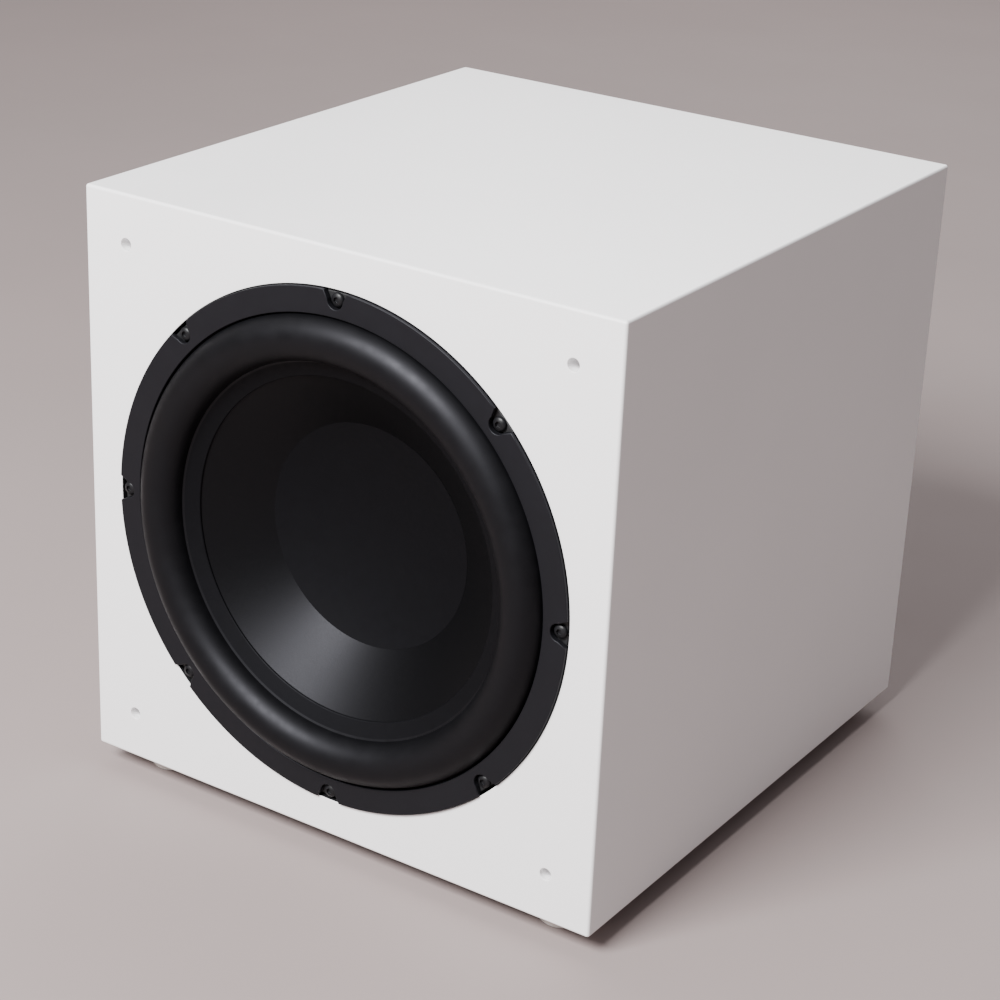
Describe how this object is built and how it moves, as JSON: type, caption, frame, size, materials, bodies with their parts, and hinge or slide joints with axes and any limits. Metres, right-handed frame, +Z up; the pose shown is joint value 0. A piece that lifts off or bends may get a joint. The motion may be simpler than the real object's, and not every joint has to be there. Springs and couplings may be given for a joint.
{
  "type": "subwoofer",
  "caption": "Cube-shaped powered subwoofer with a front-facing long-throw cone driver behind a notched trim ring, low round feet and a rear plate amplifier.",
  "frame": {"origin": "on the floor, at the centre of the footprint of the whole object's box", "axes": "+Z up; the driver faces -Y and the amplifier plate faces +Y; +X is to the right when looking at the driver"},
  "size_m": [0.36, 0.4088, 0.374],
  "materials": {
    "white_lacquer": "satin white lacquer on MDF",
    "bare_mdf": "bare sanded MDF",
    "foot_plastic": "milky translucent moulded plastic",
    "wadding": "loose polyester batting",
    "trim_plastic": "matte charcoal moulded trim",
    "surround_rubber": "satin black rubber",
    "cone_skin": "satin black cone with fine grain",
    "cap_skin": "matte black dust cap",
    "black_metal": "fine-textured black powder coat",
    "black_fastener": "black oxide",
    "black_anodised": "black anodised",
    "motor_steel": "zinc-plated steel",
    "ferrite": "ground sintered ferrite",
    "former_film": "amber polyimide film",
    "copper": "enamelled copper wire",
    "spider_cloth": "resin-dipped woven cloth",
    "lead_braid": "tinned copper braid",
    "black_foam": "closed-cell foam",
    "black_plastic": "fine-textured black plastic",
    "lead_red": "red PVC sleeve",
    "lead_black": "black PVC sleeve",
    "circuit_board": "green solder mask on glass laminate",
    "transformer_tape": "yellow polyester tape over a wound iron core",
    "capacitor_sleeve": "dark blue shrink sleeve",
    "nickel": "nickel-plated brass"
  },
  "bodies": {
    "enclosure": {"front_baffle": "white_lacquer", "rear_panel": "white_lacquer", "top_panel": "white_lacquer", "bottom_panel": "white_lacquer", "left_side_panel": "white_lacquer", "right_side_panel": "white_lacquer", "window_brace": "bare_mdf", "wadding_left": "wadding", "wadding_right": "wadding", "foot_front_left": "foot_plastic", "foot_front_right": "foot_plastic", "foot_rear_left": "foot_plastic", "foot_rear_right": "foot_plastic", "foot_screw_front_left": "black_fastener", "foot_screw_front_right": "black_fastener", "foot_screw_rear_left": "black_fastener", "foot_screw_rear_right": "black_fastener", "driver_gasket": "black_foam", "amp_gasket": "black_foam", "basket": "black_metal", "trim_ring": "trim_plastic", "surround": "surround_rubber", "spider": "spider_cloth", "top_plate": "motor_steel", "pole_yoke": "motor_steel", "magnet": "ferrite", "terminal_strip": "black_plastic", "lead_clip": "black_plastic", "tinsel_lead_positive": "lead_braid", "tinsel_lead_negative": "lead_braid", "driver_screw_1": "black_fastener", "driver_screw_2": "black_fastener", "driver_screw_3": "black_fastener", "driver_screw_4": "black_fastener", "driver_screw_5": "black_fastener", "driver_screw_6": "black_fastener", "driver_screw_7": "black_fastener", "driver_screw_8": "black_fastener", "lead_positive": "lead_red", "lead_negative": "lead_black", "amp_plate": "black_anodised", "heat_sink": "black_anodised", "circuit_board": "circuit_board", "transformer": "transformer_tape", "filter_capacitor_1": "capacitor_sleeve", "filter_capacitor_2": "capacitor_sleeve", "mains_inlet": "black_plastic", "rocker_housing": "black_plastic", "rca_jack_left": "nickel", "rca_jack_right": "nickel"},
    "driver_cone": {"cone": "cone_skin", "dust_cap": "cap_skin", "voice_coil_former": "former_film", "voice_coil": "copper"},
    "volume_control": {"volume_knob": "black_plastic"},
    "crossover_control": {"crossover_knob": "black_plastic"},
    "phase_lever": {"phase_switch": "black_plastic"},
    "power_mode_lever": {"power_mode_switch": "black_plastic"},
    "rocker": {"mains_rocker": "black_plastic"},
    "fuse_tray": {"fuse_drawer": "black_plastic"}
  },
  "joints": [
    {"name": "cone_travel", "type": "slide", "parent": "enclosure", "child": "driver_cone", "axis": [0, -1, 0], "range_m": [-0.012, 0.012], "stiffness_N_per_m": 3700, "deforming": ["surround", "spider", "tinsel_lead_positive", "tinsel_lead_negative"]},
    {"name": "volume_turn", "type": "hinge", "parent": "enclosure", "child": "volume_control", "pos_m": [0.072, 0.1886, 0.298], "axis": [0, -1, 0], "range_deg": [-150, 150]},
    {"name": "crossover_turn", "type": "hinge", "parent": "enclosure", "child": "crossover_control", "pos_m": [0.03, 0.1886, 0.298], "axis": [0, -1, 0], "range_deg": [-150, 150]},
    {"name": "phase_slide", "type": "slide", "parent": "enclosure", "child": "phase_lever", "axis": [1, 0, 0], "range_m": [0, 0.0044]},
    {"name": "power_mode_slide", "type": "slide", "parent": "enclosure", "child": "power_mode_lever", "axis": [1, 0, 0], "range_m": [0, 0.0044]},
    {"name": "mains_rock", "type": "hinge", "parent": "enclosure", "child": "rocker", "pos_m": [0.018, 0.1892, 0.095], "axis": [1, 0, 0], "range_deg": [0, 20]},
    {"name": "fuse_tray_slide", "type": "slide", "parent": "enclosure", "child": "fuse_tray", "axis": [0, 1, 0], "range_m": [0, 0.015]}
  ]
}
